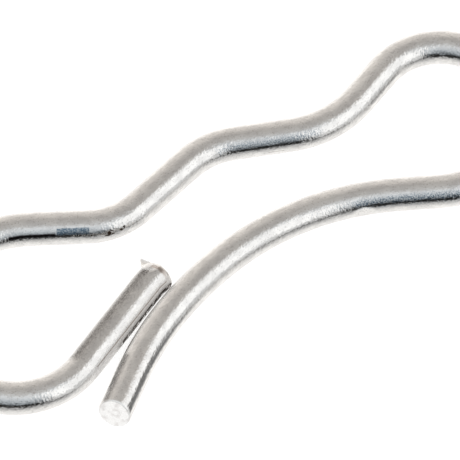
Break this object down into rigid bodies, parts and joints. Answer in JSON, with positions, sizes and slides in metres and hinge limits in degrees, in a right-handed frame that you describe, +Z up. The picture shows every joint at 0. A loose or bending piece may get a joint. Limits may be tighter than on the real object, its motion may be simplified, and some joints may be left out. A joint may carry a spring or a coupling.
{
  "type": "hairpin cotter pin",
  "caption": "Flat spring clip of one bent round wire with a loop at each side, a hump that hugs a shaft and two free ends side by side.",
  "frame": {"origin": "middle of the clip's outline, on the floor it lies on", "axes": "+X along the clip from the wide left loop to the narrow right loop, +Y from the free ends to the humped side, +Z up out of the plane of the wire, which is the way the shaft runs"},
  "size_m": [0.0618, 0.0244, 0.003],
  "materials": {
    "zinc_wire": "bright zinc-plated drawn wire, lightly mottled"
  },
  "bodies": {
    "root": {"clip_wire": "zinc_wire"}
  },
  "joints": []
}
